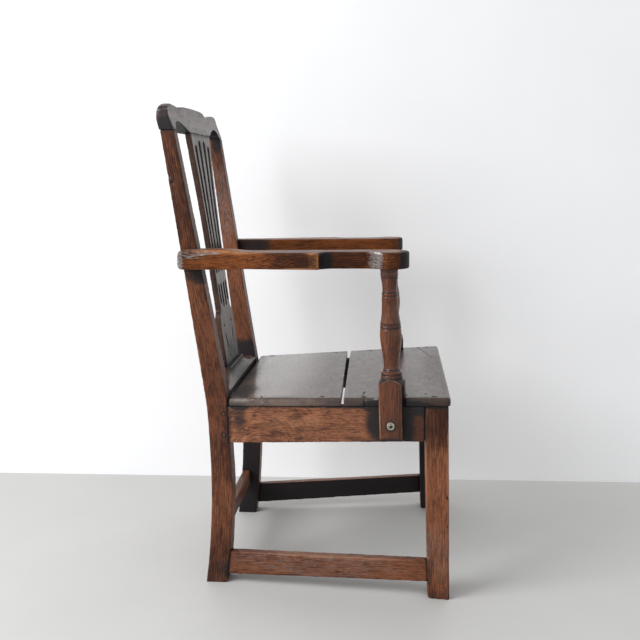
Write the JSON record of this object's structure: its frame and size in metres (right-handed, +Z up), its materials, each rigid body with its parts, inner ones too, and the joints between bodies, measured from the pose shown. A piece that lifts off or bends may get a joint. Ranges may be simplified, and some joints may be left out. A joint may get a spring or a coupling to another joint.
{
  "type": "open armchair",
  "caption": "Joined wooden open armchair with plank seat, pierced splat back, wavy crest rail, flat shaped arms on turned supports and low side stretchers.",
  "frame": {"origin": "centre of the footprint of the whole chair's box, on the floor", "axes": "+Z up, the front of the chair towards -Y, the sitter's right towards -X"},
  "size_m": [0.58, 0.573, 0.987],
  "materials": {
    "frame_oak": "waxed, worn",
    "rail_oak": "waxed, worn",
    "arm_oak": "polished by use",
    "support_oak": "polished by use",
    "back_oak": "waxed, dark patina",
    "seat_oak": "satin, worn",
    "peg_oak": "dark",
    "nail_iron": "wrought, dull",
    "screw_steel": "bright",
    "cup_brass": "bright, worn"
  },
  "bodies": {
    "root": {"arm_left": "arm_oak", "arm_right": "arm_oak", "arm_support_cup_washer_left": "cup_brass", "arm_support_cup_washer_right": "cup_brass", "arm_support_left": "support_oak", "arm_support_right": "support_oak", "arm_support_screw_left": "screw_steel", "arm_support_screw_right": "screw_steel", "back_post_left": "frame_oak", "back_post_right": "frame_oak", "crest_rail": "back_oak", "front_leg_left": "frame_oak", "front_leg_right": "frame_oak", "front_seat_rail": "frame_oak", "rail_pegs_left": "peg_oak", "rail_pegs_right": "peg_oak", "rear_seat_rail": "frame_oak", "rear_stretcher": "frame_oak", "seat_board_front": "seat_oak", "seat_board_rear": "seat_oak", "seat_nails_left": "nail_iron", "seat_nails_right": "nail_iron", "side_seat_rail_left": "rail_oak", "side_seat_rail_right": "rail_oak", "side_stretcher_left": "frame_oak", "side_stretcher_right": "frame_oak", "splat": "back_oak", "splat_shoe": "back_oak"}
  },
  "joints": []
}
